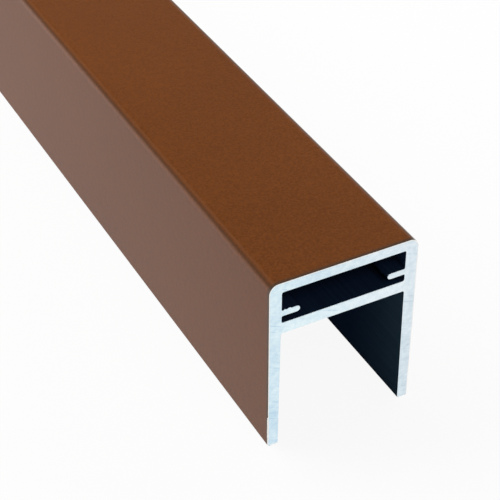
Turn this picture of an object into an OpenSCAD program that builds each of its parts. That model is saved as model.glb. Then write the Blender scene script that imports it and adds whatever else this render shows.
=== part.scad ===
// Extruded aluminium edging rail: an upside-down channel that caps a 20 mm board.
// The section has a closed chamber over the board slot. Two short ribs stand in the chamber,
// over the grooves that a joining strip or an end plug slides into.
// The stock lies along Y and stands on the feet of its two legs. X runs across it and Z is up.
// The origin is on the floor, at the middle of the length. Sizes are in millimetres.

/* [Stock] */
// Overall width across the two legs
profile_w = 24; // [22:0.5:40]
// Overall height from the feet to the top face
profile_h = 30; // [20:0.5:60]
// Length that the stock is cut to
stock_l = 1000; // [100:50:6000]

/* [Walls] */
// Thickness of the wall over the chamber
top_wall_t = 1.7; // [1.2:0.1:3]
// Thickness of the two walls beside the chamber
side_wall_t = 2; // [1.2:0.1:3]
// Thickness of the web between the chamber and the slot
web_t = 1.9; // [1.2:0.1:3]
// Thickness of each leg where it leaves the web
leg_root_t = 1.9; // [1.2:0.05:3]
// Thickness of each leg at its foot, which makes the slot widen a little to its mouth
leg_foot_t = 1.65; // [1:0.05:3]

/* [Chamber] */
// Clear height of the closed chamber
chamber_h = 5.4; // [4:0.1:10]
// Reach of each rib from the chamber's side wall to its rounded tip
rib_reach = 2.9; // [1.5:0.1:6]
// Thickness of each rib
rib_t = 1; // [0.6:0.1:1.8]
// Clear height of the groove between the web and each rib
groove_h = 1.2; // [0.8:0.1:1.8]

/* [Edges] */
// Radius of the two outer edges along the top face
top_edge_r = 1.5; // [0.5:0.1:3]
// Radius of the edges along the feet
foot_edge_r = 0.2; // [0.1:0.05:0.4]
// Fillet where the web meets the legs in the slot
slot_fillet_r = 0.3; // [0.1:0.05:1.5]
// Fillet in the four corners of the chamber
chamber_fillet_r = 0.3; // [0.1:0.05:0.5]
// Fillet along both roots of each rib
rib_fillet_r = 0.2; // [0.1:0.05:0.25]

/* [Hidden] */
$fn = 64;

// How far a cut runs past the faces that it opens
overrun = 1;
// Powder coat on the faces that show
coat_colour = [0.44, 0.26, 0.14];

half_w = profile_w / 2;
chamber_top_z = profile_h - top_wall_t;
chamber_floor_z = chamber_top_z - chamber_h;
slot_root_z = chamber_floor_z - web_t;
chamber_half_w = half_w - side_wall_t;
slot_root_half_w = half_w - leg_root_t;
slot_mouth_half_w = half_w - leg_foot_t;
rib_floor_z = chamber_floor_z + groove_h;
rib_top_z = rib_floor_z + rib_t;
rib_tip_r = rib_t / 2;
rib_tip_x = chamber_half_w - rib_reach + rib_tip_r;

// Directions that the edges of the section run in, on its right half
up = [0, 1];
down = [0, -1];
outwards = [1, 0];
inwards = [-1, 0];
leg_rise = [slot_root_half_w - slot_mouth_half_w, slot_root_z];
leg_up = leg_rise / norm(leg_rise);

// Curved triangle between a corner and the arc of radius r that rounds it, run on past the corner.
// edge_a and edge_b are the directions of the corner's two edges. The piece comes off an outside
// corner, and off the tool that cuts an inside one.
module corner_piece(corner, edge_a, edge_b, r) {
    half_angle = acos(edge_a * edge_b) / 2;
    tangent_l = r / tan(half_angle);
    bisector = (edge_a + edge_b) / norm(edge_a + edge_b);
    difference() {
        polygon([corner - bisector * overrun, corner + edge_a * tangent_l, corner + edge_b * tangent_l]);
        translate(corner + bisector * r / sin(half_angle)) circle(r = r);
    }
}

// Draws its children on the right half of the section and mirrored on the left half
module both_sides() {
    children();
    mirror([1, 0]) children();
}

// Slot for the board, with legs that thin towards their feet and fillets under the web
module slot_outline() {
    slope = leg_rise.x / leg_rise.y;
    mouth_x = slot_mouth_half_w - slope * overrun;
    difference() {
        polygon([
            [-mouth_x, -overrun], [mouth_x, -overrun],
            [slot_root_half_w, slot_root_z], [-slot_root_half_w, slot_root_z],
        ]);
        both_sides() corner_piece([slot_root_half_w, slot_root_z], inwards, -leg_up, slot_fillet_r);
    }
}

// One rib with a round tip, standing on the chamber's right side wall
module rib_outline() {
    translate([rib_tip_x, rib_floor_z]) square([chamber_half_w + overrun - rib_tip_x, rib_t]);
    translate([rib_tip_x, rib_floor_z + rib_tip_r]) circle(r = rib_tip_r);
    corner_piece([chamber_half_w, rib_floor_z], inwards, down, rib_fillet_r);
    corner_piece([chamber_half_w, rib_top_z], inwards, up, rib_fillet_r);
}

// Closed chamber with round corners, less the two ribs that stand in it
module chamber_outline() {
    difference() {
        translate([-chamber_half_w, chamber_floor_z]) square([2 * chamber_half_w, chamber_h]);
        both_sides() {
            corner_piece([chamber_half_w, chamber_top_z], inwards, down, chamber_fillet_r);
            corner_piece([chamber_half_w, chamber_floor_z], inwards, up, chamber_fillet_r);
            rib_outline();
        }
    }
}

// What comes off the outer edges of the top face and of the feet, on the right half
module outside_rounds() {
    corner_piece([half_w, profile_h], inwards, down, top_edge_r);
    corner_piece([half_w, 0], inwards, up, foot_edge_r);
    corner_piece([slot_mouth_half_w, 0], outwards, leg_up, foot_edge_r);
}

// The die's section, drawn with its height along Y
module section() {
    difference() {
        translate([-half_w, 0]) square([profile_w, profile_h]);
        slot_outline();
        chamber_outline();
        both_sides() outside_rounds();
    }
}

// The section pushed through the die and sawn square at both ends
module extrusion_profile() {
    color(coat_colour)
        translate([0, stock_l / 2, 0])
            rotate([90, 0, 0])
                linear_extrude(stock_l)
                    section();
}

extrusion_profile();
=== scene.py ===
import math

import bmesh
import bpy
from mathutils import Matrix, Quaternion, Vector, noise


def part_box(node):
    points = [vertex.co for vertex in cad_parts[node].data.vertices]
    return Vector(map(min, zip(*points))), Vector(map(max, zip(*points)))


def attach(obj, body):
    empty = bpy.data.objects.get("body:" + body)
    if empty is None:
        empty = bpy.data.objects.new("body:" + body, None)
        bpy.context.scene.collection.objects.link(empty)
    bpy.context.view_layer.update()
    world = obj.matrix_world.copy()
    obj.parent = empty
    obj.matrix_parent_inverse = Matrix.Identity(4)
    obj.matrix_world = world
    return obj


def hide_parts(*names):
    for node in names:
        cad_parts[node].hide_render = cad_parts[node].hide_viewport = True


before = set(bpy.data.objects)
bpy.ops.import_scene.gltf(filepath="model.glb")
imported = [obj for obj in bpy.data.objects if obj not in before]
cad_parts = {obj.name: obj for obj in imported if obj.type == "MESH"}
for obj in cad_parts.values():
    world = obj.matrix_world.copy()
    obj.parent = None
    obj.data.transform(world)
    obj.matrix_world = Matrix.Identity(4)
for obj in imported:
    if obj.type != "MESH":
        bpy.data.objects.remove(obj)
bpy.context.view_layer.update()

# The rail
# One straight length of aluminium, pushed through a die as a single piece and sawn square at both ends.
# The die gives it two legs round a board slot, a web over the slot, and a closed chamber with two ribs.
rail_low, rail_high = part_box("extrusion_profile")
half_width = rail_high.x
top_level = rail_high.z
near_end = rail_low.y
far_end = rail_high.y

top_wall = 0.0017
side_wall = 0.0020
web_thickness = 0.0019
leg_at_web = 0.0019
leg_at_foot = 0.00165
chamber_height = 0.0054
rib_reach = 0.0029
rib_thickness = 0.0010
groove_height = 0.0012

top_edge_round = 0.0015
foot_round = 0.0002
slot_fillet = 0.0003
chamber_fillet = 0.0003
rib_fillet = 0.0002

chamber_top = top_level - top_wall
chamber_floor = chamber_top - chamber_height
slot_root = chamber_floor - web_thickness
chamber_half = half_width - side_wall
slot_root_half = half_width - leg_at_web
slot_mouth_half = half_width - leg_at_foot
rib_floor = chamber_floor + groove_height
rib_top = rib_floor + rib_thickness
rib_tip = chamber_half - rib_reach

# Each corner of the section's right half is an x, a height and the radius that rounds it
outside_corners = [
    (slot_root_half, slot_root, slot_fillet),
    (slot_mouth_half, 0, foot_round),
    (half_width, 0, foot_round),
    (half_width, top_level, top_edge_round),
]
chamber_corners = [
    (chamber_half, chamber_floor, chamber_fillet),
    (chamber_half, rib_floor, rib_fillet),
    (rib_tip, rib_floor, rib_thickness / 2),
    (rib_tip, rib_top, rib_thickness / 2),
    (chamber_half, rib_top, rib_fillet),
    (chamber_half, chamber_top, chamber_fillet),
]
steps_in_a_round = 10
shortest_run = foot_round / steps_in_a_round / 2
longest_run = 0.0003


def whole_loop(right_half):
    """The right half's corners, then the same ones mirrored on the left, as one closed loop."""
    return right_half + [(-x, z, radius) for x, z, radius in reversed(right_half)]


def round_off(before, corner, after):
    """Points on the arc that rounds a corner, from the edge that comes in to the edge that goes out."""
    radius = corner[2]
    middle = Vector(corner[:2])
    back = (Vector(before[:2]) - middle).normalized()
    ahead = (Vector(after[:2]) - middle).normalized()
    half_angle = back.angle(ahead) / 2
    centre = middle + (back + ahead).normalized() * radius / math.sin(half_angle)
    start = middle + back * radius / math.tan(half_angle) - centre
    turn = math.pi - 2 * half_angle
    side = math.copysign(1, back.x * ahead.y - back.y * ahead.x)
    arc = []
    for step in range(steps_in_a_round + 1):
        angle = -side * turn * step / steps_in_a_round
        cos = math.cos(angle)
        sin = math.sin(angle)
        arc.append(centre + Vector((start.x * cos - start.y * sin, start.x * sin + start.y * cos)))
    return arc


def outline(corners):
    """Points round a closed loop, with its corners rounded and its straight runs cut into short ones."""
    rounded = []
    for number, corner in enumerate(corners):
        rounded += round_off(corners[number - 1], corner, corners[(number + 1) % len(corners)])
    points = []
    for here, there in zip(rounded, rounded[1:] + rounded[:1]):
        length = (there - here).length
        if length < shortest_run:
            continue
        parts = math.ceil(length / longest_run)
        points += [here.lerp(there, part / parts) for part in range(parts)]
    return points


def out_of_metal(points, solid_side):
    """Unit vectors that point out of the metal at each point of a loop."""
    normals = []
    for number in range(len(points)):
        along = (points[(number + 1) % len(points)] - points[number - 1]).normalized()
        normals.append(Vector((along.y, -along.x)) * solid_side)
    return normals


# The burr of the saw is scraped off the outside edges, and inside it is only broken a little. At the
# near end the coat is chipped along the foot of the left leg, and two crumbs of burr are left on a rib.
# A scraped edge goes only a fifth as far back along the rail as it goes into the sawn face.
# Each crumb is its distance from the chamber's wall, its height and its reach to both sides.
scraped_edge = 0.00013
broken_edge = 0.00005
setback_share = 0.2
edge_change_share = 0.35
edge_change_pitch = 0.0015
chip_height = 0.0058
chip_setback = 0.00030
crumbs = [(0.0005, 0.00013, 0.00022), (0.0012, 0.00020, 0.00026)]


def sawn_edge(point, end):
    """How far a sawn edge goes into the metal, and how far back along the rail it is broken."""
    wander = noise.noise(Vector((point.x, end, point.y)) / edge_change_pitch)
    between_legs = abs(point.x) < slot_mouth_half + foot_round / 2
    over_feet = point.y > foot_round / 2
    under_top = point.y < top_level - top_wall / 2
    inside = between_legs and over_feet and under_top
    edge = broken_edge if inside else scraped_edge
    inset = edge * (1 + edge_change_share * wander)
    setback = inset if inside else inset * setback_share
    on_left_side = point.x < -half_width + foot_round / 2
    on_left_rib = point.x < 0 and abs(point.y - rib_top) < foot_round / 4
    if end == near_end and on_left_side and point.y < chip_height:
        setback = chip_setback * (1 + edge_change_share * wander)
    if end == near_end and on_left_rib:
        from_wall = chamber_half + point.x
        for distance, height, reach in crumbs:
            inset -= (height + broken_edge) * math.exp(-((from_wall - distance) / reach) ** 2)
    return inset, setback


# The finishes, in the order in which the sections below add them to the mesh
COAT, SLOT, CHAMBER, SAWN, SCRAPED = range(5)
# Each loop of the section has four rings of points, which make a long row of faces between two of bevels
LONG_ROW = 1


def finish_of(middle, solid_side, row):
    """The finish of a long face, or of the bevel at its end, by the middle of the run that it stands on."""
    if solid_side < 0:
        wall = CHAMBER
    elif abs(middle.x) < slot_mouth_half and middle.y < slot_root + foot_round:
        wall = SLOT
    else:
        wall = COAT
    if row == LONG_ROW:
        return wall
    return SCRAPED if wall == COAT else SAWN


rail_mesh = bmesh.new()
# On the map, the two sawn faces lie side by side at the bottom, and the faces along the rail fill two
# strips over them, one for the outside and one for the chamber
map_layer = rail_mesh.loops.layers.uv.new("OFBake")
near_face_left = 0.01
far_face_left = 0.5
face_map_floor = 0.01
face_map_size = 0.40
outside_strip = (0.01, 0.70)
chamber_strip = (0.72, 0.99)
strip_levels = [0.44, 0.46, 0.97, 0.99]
skins = [
    (whole_loop(outside_corners), 1, outside_strip),
    (whole_loop(chamber_corners), -1, chamber_strip),
]
end_edges = {near_end: [], far_end: []}

for corners, solid_side, (strip_left, strip_right) in skins:
    points = outline(corners)
    count = len(points)
    rings = [[], [], [], []]
    for point, normal in zip(points, out_of_metal(points, solid_side)):
        for end, inwards, cap_ring, body_ring in ((near_end, 1, 0, 1), (far_end, -1, 3, 2)):
            inset, setback = sawn_edge(point, end)
            cut = point - normal * inset
            rings[cap_ring].append(rail_mesh.verts.new((cut.x, end, cut.y)))
            rings[body_ring].append(rail_mesh.verts.new((point.x, end + inwards * setback, point.y)))
    for row, (low_ring, high_ring) in enumerate(zip(rings, rings[1:])):
        for here in range(count):
            there = (here + 1) % count
            face = rail_mesh.faces.new((low_ring[here], low_ring[there], high_ring[there], high_ring[here]))
            face.material_index = finish_of((points[here] + points[there]) / 2, solid_side, row)
            steps = [here, here + 1, here + 1, here]
            levels = [row, row, row + 1, row + 1]
            for corner, step, level in zip(face.loops, steps, levels):
                across = strip_left + step / count * (strip_right - strip_left)
                corner[map_layer].uv = (across, strip_levels[level])
    for end, cap_ring in ((near_end, rings[0]), (far_end, rings[3])):
        for here, there in zip(cap_ring, cap_ring[1:] + cap_ring[:1]):
            end_edges[end].append(rail_mesh.edges.get((here, there)))

for end, face_left in ((near_end, near_face_left), (far_end, far_face_left)):
    filled = bmesh.ops.triangle_fill(rail_mesh, use_beauty=True, edges=end_edges[end])
    for face in filled["geom"]:
        if isinstance(face, bmesh.types.BMFace):
            face.material_index = SAWN
            for corner in face.loops:
                spot = corner.vert.co
                corner[map_layer].uv = (
                    face_left + (spot.x + half_width) / top_level * face_map_size,
                    face_map_floor + spot.z / top_level * face_map_size,
                )
bmesh.ops.recalc_face_normals(rail_mesh, faces=rail_mesh.faces)

crease_angle = math.radians(25)
rail_data = bpy.data.meshes.new("edging_rail")
rail_mesh.to_mesh(rail_data)
rail_mesh.free()
rail_data.polygons.foreach_set("use_smooth", [True] * len(rail_data.polygons))
rail_data.set_sharp_from_angle(angle=crease_angle)
rail = bpy.data.objects.new("edging_rail", rail_data)
bpy.context.scene.collection.objects.link(rail)
flat_faces = rail.modifiers.new("flat_faces_stay_flat", "WEIGHTED_NORMAL")
flat_faces.keep_sharp = True

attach(rail, "root")
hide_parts("extrusion_profile")

# The coat
# Brown polyester powder, sprayed on the outside of the rail and baked to a satin skin.
# It has a fine grain, a slight orange peel, and a cloudy drift in its tone along the stock.


class Value:
    """One output of a finish's nodes. Sums, differences and products of values add Math nodes."""

    def __init__(self, tree, socket):
        self.tree = tree
        self.socket = socket

    def node(self, kind, settings, inputs, output=0):
        """Adds a node of a kind, with its settings, made first, and the values or links of its inputs."""
        added = self.tree.nodes.new("ShaderNode" + kind)
        for name, setting in settings.items():
            setattr(added, name, setting)
        for name, given in inputs.items():
            if isinstance(given, Value):
                self.tree.links.new(given.socket, added.inputs[name])
            else:
                added.inputs[name].default_value = given
        return Value(self.tree, added.outputs[output] if added.outputs else None)

    def math(self, operation, first, second):
        """A Math node that works on two values or numbers."""
        return self.node("Math", {"operation": operation}, {0: first, 1: second})

    def __add__(self, other):
        return self.math("ADD", self, other)

    __radd__ = __add__

    def __sub__(self, other):
        return self.math("SUBTRACT", self, other)

    def __rsub__(self, other):
        return self.math("SUBTRACT", other, self)

    def __mul__(self, other):
        return self.math("MULTIPLY", self, other)

    __rmul__ = __mul__

    def __abs__(self):
        return self.math("ABSOLUTE", self, 0)

    def part(self, axis):
        """One coordinate of a place."""
        return self.node("SeparateXYZ", {}, {0: self}, axis)

    def between(self, low_colour, high_colour):
        """The colour that lies this far from one colour to another."""
        return self.node("Mix", {"data_type": "RGBA"}, {0: self, 6: low_colour, 7: high_colour}, 2)

    def fade(self, none_at, all_at, most=1.0):
        """A smooth rise from nothing where this is none_at to the most where it is all_at."""
        return self.node("MapRange", {"interpolation_type": "SMOOTHSTEP"}, {
            "Value": self, "From Min": none_at, "From Max": all_at, "To Min": 0, "To Max": most,
        })

    def stretched(self, sizes):
        """A place divided by the sizes of a pattern's marks along X, Y and Z."""
        return self.node("VectorMath", {"operation": "DIVIDE"}, {0: self, 1: sizes})

    def mottle(self, size, detail):
        """Cloudy noise from 0 to 1 at a place, with marks of a given size."""
        return self.node("TexNoise", {}, {"Vector": self, "Scale": 1 / size, "Detail": detail})

    def swing(self, contrast):
        """Noise from 0 to 1 as a change to both sides of nothing."""
        return (self - 0.5) * contrast

    def relief(self, strength, depth):
        """A surface that this value raises and lowers by a small depth."""
        return self.node("Bump", {}, {"Strength": strength, "Distance": depth, "Height": self})

    def surface(self, sockets):
        """Ends a finish with one surface, from the values or links of its sockets."""
        shader = self.node("BsdfPrincipled", {}, sockets)
        self.node("OutputMaterial", {}, {"Surface": shader})


def new_finish(name, mesh):
    """Gives a mesh one more material, with no nodes yet but the place on the piece, in metres."""
    material = bpy.data.materials.new(name)
    material.use_nodes = True
    material.node_tree.nodes.clear()
    mesh.materials.append(material)
    return Value(material.node_tree, None).node("TexCoord", {}, {}, "Object")


def from_an_end(place):
    """How far a place lies along the rail from the nearer of its two ends."""
    return far_end - abs(place.part("Y"))


grain_size = 0.00035
peel_size = 0.0012
drift_size = 0.03
deep_brown = (0.112, 0.0302, 0.0036, 1)
light_brown = (0.178, 0.0506, 0.0072, 1)
middle_tone = 0.5
place = new_finish("brown_powder_coat", rail_data)
grain = place.mottle(grain_size, detail=2.0)
peel = place.mottle(peel_size, detail=2.0)
drift = place.mottle(drift_size, detail=2.0)
tone = middle_tone + grain.swing(contrast=2.2) + drift.swing(contrast=0.5)
coat_colour = tone.between(deep_brown, light_brown)

# A dark line is painted along each of the two rounded edges, higher on the right one, as painted shade.
# On the left a paler line above the dark one is a painted highlight. Below it the round is rubbed glossy.
right_line_rise = math.radians(14)
shade_brown = (0.070, 0.028, 0.010, 1)
highlight_brown = (0.165, 0.062, 0.022, 1)
past_top = abs(place.part("X")) - (half_width - top_edge_round)
past_side = place.part("Z") - (top_level - top_edge_round)
on_the_right = place.part("X").fade(0, top_edge_round)
lean = place.math("ARCTAN2", past_top, past_side) + on_the_right * right_line_rise


def edge_line(line_lean, reach, most):
    """How much of a soft line shows on the rounds, at a lean from the top face in degrees."""
    return abs(lean - math.radians(line_lean)).fade(math.radians(reach), 0, most)


painted_shade_line = edge_line(line_lean=45, reach=18, most=0.75)
painted_highlight_line = edge_line(line_lean=24, reach=10, most=0.4) * (1 - on_the_right)
rubbed_coat = edge_line(line_lean=66, reach=26, most=0.55)
coat_colour = painted_shade_line.between(coat_colour, shade_brown)
coat_colour = painted_highlight_line.between(coat_colour, highlight_brown)

# The saw dulled a narrow strip of the coat at each end
dulled_reach = 0.0009
fully_dulled_reach = 0.0002
dulled_brown = (0.050, 0.036, 0.024, 1)
dulled_coat = from_an_end(place).fade(dulled_reach, fully_dulled_reach, most=0.8)
coat_colour = dulled_coat.between(coat_colour, dulled_brown)

satin_roughness = 0.38
grain_roughness = 0.10
grain_relief_share = 0.4
place.surface({
    "Base Color": coat_colour,
    "Roughness": satin_roughness + grain * grain_roughness,
    "IOR": 1.32,
    "Coat Weight": rubbed_coat,
    "Coat IOR": 1.5,
    "Coat Roughness": 0.25,
    "Normal": (grain * grain_relief_share + peel).relief(strength=0.45, depth=0.00005),
})

# The dark skin inside
# The slot and the chamber have a thin near-black skin over the metal as it left the die.
# The die's edges leave faint straight lines in it, and in the slot it is painted lighter towards the ends,
# as painted light that comes in at the open ends.
die_line_sizes = (0.0005, 0.5, 0.0005)
end_light_reach = 0.016
skin_roughness = 0.55
die_line_roughness = 0.2


def dark_skin(name, deep_colours, end_colours):
    """A matt dark finish with die lines, between two colours in the depth and two at the rail's ends, where
    lighter colours paint the light that comes in at the open ends.
    """
    place = new_finish(name, rail_data)
    die_lines = place.stretched(die_line_sizes).mottle(size=1.0, detail=3.0)
    painted_end_light = from_an_end(place).fade(end_light_reach, 0)
    place.surface({
        "Base Color": painted_end_light.between(die_lines.between(*deep_colours), die_lines.between(*end_colours)),
        "Roughness": skin_roughness + die_lines * die_line_roughness,
        "IOR": 1.03,
        "Normal": die_lines.relief(strength=0.1, depth=0.00005),
    })


# In the slot the colours at the ends are lighter: painted light coming in at the open ends.
deep_slate = [(0.010, 0.024, 0.062, 1), (0.020, 0.046, 0.104, 1)]
lit_slate = [(0.022, 0.045, 0.070, 1), (0.046, 0.090, 0.136, 1)]
blue_black = [(0.005, 0.012, 0.029, 1), (0.020, 0.039, 0.086, 1)]
dark_skin("slot_skin", deep_slate, lit_slate)
dark_skin("chamber_skin", blue_black, blue_black)

# The sawn ends
# Bare aluminium, cut square by a circular saw that came down from above, and left as cut. Its teeth leave
# fine arcs across the walls, with a deeper feed mark here and there, under a cloudy mottle.
blade_centre = (0.045, 0, 0.1406)
tooth_mark_size = 0.0004
feed_pitch = 0.0010
marked_patch_size = 0.0035
cloud_size = 0.004
fleck_size = 0.0007
place = new_finish("sawn_aluminium", rail_data)
on_the_cut = place.node("VectorMath", {"operation": "MULTIPLY"}, {0: place, 1: (1, 0, 1)})
blade_radius = place.node("VectorMath", {"operation": "DISTANCE"}, {0: on_the_cut, 1: blade_centre}, "Value")
tooth_marks = place.node("TexNoise", {"noise_dimensions": "1D"}, {
    "W": blade_radius, "Scale": 1 / tooth_mark_size, "Detail": 3.0,
})
feed = place.math("FRACT", blade_radius * (1 / feed_pitch), 0)
marked_patch = place.mottle(marked_patch_size, detail=1.0).fade(none_at=0.50, all_at=0.62)
from_feed_mark = abs(feed - 0.5)
feed_marks = from_feed_mark.fade(none_at=0.13, all_at=0.04, most=0.38) * marked_patch
clouds = place.mottle(cloud_size, detail=3.0)
flecks = place.mottle(fleck_size, detail=3.0)

# The metal is painted brighter higher up, and brightest along the web between the two walls, as a painted
# reflection; the real saw marks and mottle are added to it
foot_sheen = 0.38
top_sheen_gain = 0.25
web_glow_inner = 0.001
web_glow_reach = 0.004
web_middle = slot_root + web_thickness / 2
painted_sheen_higher_up = place.part("Z") * (top_sheen_gain / top_level)
painted_sheen_on_web = abs(place.part("Z") - web_middle).fade(web_glow_reach, web_glow_inner)
between_walls = abs(place.part("X")).fade(half_width, chamber_half - side_wall, most=0.28)
marks_and_painted_sheen = foot_sheen + painted_sheen_higher_up + painted_sheen_on_web * between_walls - feed_marks
marks_and_painted_sheen = marks_and_painted_sheen + tooth_marks.swing(contrast=0.4) + clouds.swing(contrast=0.8) + flecks.swing(contrast=1.0)

# The left leg is painted bluer than the right one, a painted tint of the light that it reflects
dull_left = (0.53, 0.72, 0.86, 1)
dull_right = (0.59, 0.70, 0.78, 1)
bright_left = (0.84, 0.97, 1.00, 1)
bright_right = (0.86, 0.94, 0.98, 1)
sawn_roughness = 0.36
tooth_mark_roughness = 0.15
painted_tint_to_right = place.part("X").fade(-half_width, half_width)
dull_metal = painted_tint_to_right.between(dull_left, dull_right)
bright_metal = painted_tint_to_right.between(bright_left, bright_right)
place.surface({
    "Base Color": marks_and_painted_sheen.between(dull_metal, bright_metal),
    "Metallic": 1.0,
    "Roughness": sawn_roughness + tooth_marks * tooth_mark_roughness,
    "Normal": (tooth_marks + flecks).relief(strength=0.15, depth=0.00004),
})

# The scraped edges
# A thin bevel round the outside of each sawn end, where the saw's burr was scraped off.
# The bare metal there is rough, and its colour is whiter than the sawn face's: partly the bare metal's own
# brightness, partly a painted highlight along the bevel.
scrape_size = 0.0005
scraped_grey = (0.93, 0.93, 0.91, 1)
painted_highlight_white = (0.99, 0.99, 0.97, 1)
scraped_roughness = 0.55
scrape_roughness = 0.2
place = new_finish("scraped_edge", rail_data)
scrapes = place.mottle(scrape_size, detail=3.0)
place.surface({
    "Base Color": scrapes.between(scraped_grey, painted_highlight_white),
    "Metallic": 1.0,
    "Roughness": scraped_roughness + scrapes * scrape_roughness,
})

# The studio
# A white cove: a round floor that curves up into a low wall, so that every side shows the same pale ground.
# Three soft lamps and a faint even sky light the rail, and only the front lamp shows in its gloss.
floor_reach = 6.0
cove_round = 0.8
wall_height = 1.6
cove_sides = 96
cove_steps = 8
weld_distance = 0.0001
flat_reach = floor_reach - cove_round
cove_line = [(0.0, 0.0), (flat_reach, 0.0)]
for step in range(1, cove_steps + 1):
    angle = math.pi / 2 * step / cove_steps
    cove_line.append((flat_reach + cove_round * math.sin(angle), cove_round - cove_round * math.cos(angle)))
cove_line.append((floor_reach, wall_height))
cove_mesh = bmesh.new()
line = [cove_mesh.verts.new((reach, 0, height)) for reach, height in cove_line]
line_edges = [cove_mesh.edges.new(pair) for pair in zip(line, line[1:])]
bmesh.ops.spin(
    cove_mesh, geom=line + line_edges, axis=(0, 0, 1), cent=(0, 0, 0),
    angle=2 * math.pi, steps=cove_sides, use_merge=True,
)
bmesh.ops.remove_doubles(cove_mesh, verts=cove_mesh.verts, dist=weld_distance)
bmesh.ops.recalc_face_normals(cove_mesh, faces=cove_mesh.faces)
cove_data = bpy.data.meshes.new("cove")
cove_mesh.to_mesh(cove_data)
cove_mesh.free()
cove_data.polygons.foreach_set("use_smooth", [True] * len(cove_data.polygons))
cove = bpy.data.objects.new("cove", cove_data)
bpy.context.scene.collection.objects.link(cove)

# The camera sees the cove nearly white, with a share of the rail's shadow left on it
white_share = 0.92
cove_paint = (0.80, 0.80, 0.80, 1)
pure_white = (1, 1, 1, 1)
place = new_finish("cove_paint", cove_data)
seen = place.node("LightPath", {}, {}, "Is Camera Ray")
mirrored = place.node("LightPath", {}, {}, "Is Glossy Ray")
through = place.node("LightPath", {}, {}, "Is Transmission Ray")
matt = place.node("BsdfDiffuse", {}, {"Color": cove_paint})
white = place.node("Emission", {}, {"Color": pure_white, "Strength": 1.0})
cove_surface = place.node("MixShader", {}, {0: seen * white_share + mirrored + through, 1: matt, 2: white})
place.node("OutputMaterial", {}, {"Surface": cove_surface})

sky_strength = 0.12
sky = bpy.data.worlds.new("soft_sky")
sky.use_nodes = True
sky_light = sky.node_tree.nodes["Background"]
sky_light.inputs["Color"].default_value = pure_white
sky_light.inputs["Strength"].default_value = sky_strength
bpy.context.scene.world = sky


def hang_softbox(name, width, height, watts, hung_at, aim, shows_in_gloss):
    """A soft rectangular lamp, turned to the point that it is aimed at."""
    light = bpy.data.lights.new(name, "AREA")
    light.shape = "RECTANGLE"
    light.size = width
    light.size_y = height
    light.energy = watts
    lamp = bpy.data.objects.new(name, light)
    lamp.location = hung_at
    lamp.rotation_mode = "QUATERNION"
    lamp.rotation_quaternion = (Vector(aim) - lamp.location).to_track_quat("-Z", "Y")
    lamp.visible_glossy = shows_in_gloss
    bpy.context.scene.collection.objects.link(lamp)


rail_middle = (0, 0, 0)
near_end_middle = (0, near_end, 0)
hang_softbox(
    "left_softbox", width=0.6, height=0.9, watts=8.2,
    hung_at=(-0.33, 0, 0.58), aim=rail_middle, shows_in_gloss=False,
)
hang_softbox(
    "right_softbox", width=0.9, height=0.5, watts=3.0,
    hung_at=(0.60, 0, 0.40), aim=rail_middle, shows_in_gloss=False,
)
hang_softbox(
    "front_softbox", width=0.9, height=0.6, watts=3.0,
    hung_at=(0, -1.3, 0.85), aim=near_end_middle, shows_in_gloss=True,
)

# The camera
# It stands about 0.2 m from the near end, to its left and above it, and looks down along the rail,
# so that the sawn face, the top and the left side all show.
camera_azimuth = math.radians(-27.81)
camera_elevation = math.radians(37.52)
camera_roll = math.radians(-0.03)
camera_distance = 0.21294
camera_aim = Vector((-0.01043, near_end + 0.00857, top_level))
camera_data = bpy.data.cameras.new("camera")
camera_data.sensor_width = 36
camera_data.lens = 110.16
camera_data.clip_start = 0.01
camera_data.clip_end = 100
camera = bpy.data.objects.new("camera", camera_data)
from_aim = Vector((
    math.sin(camera_azimuth) * math.cos(camera_elevation),
    -math.cos(camera_azimuth) * math.cos(camera_elevation),
    math.sin(camera_elevation),
))
camera.location = camera_aim + from_aim * camera_distance
camera.rotation_mode = "QUATERNION"
level_view = (-from_aim).to_track_quat("-Z", "Y")
camera.rotation_quaternion = level_view @ Quaternion((0, 0, 1), camera_roll)
bpy.context.scene.collection.objects.link(camera)
bpy.context.scene.camera = camera
bpy.context.scene.view_settings.view_transform = "Standard"
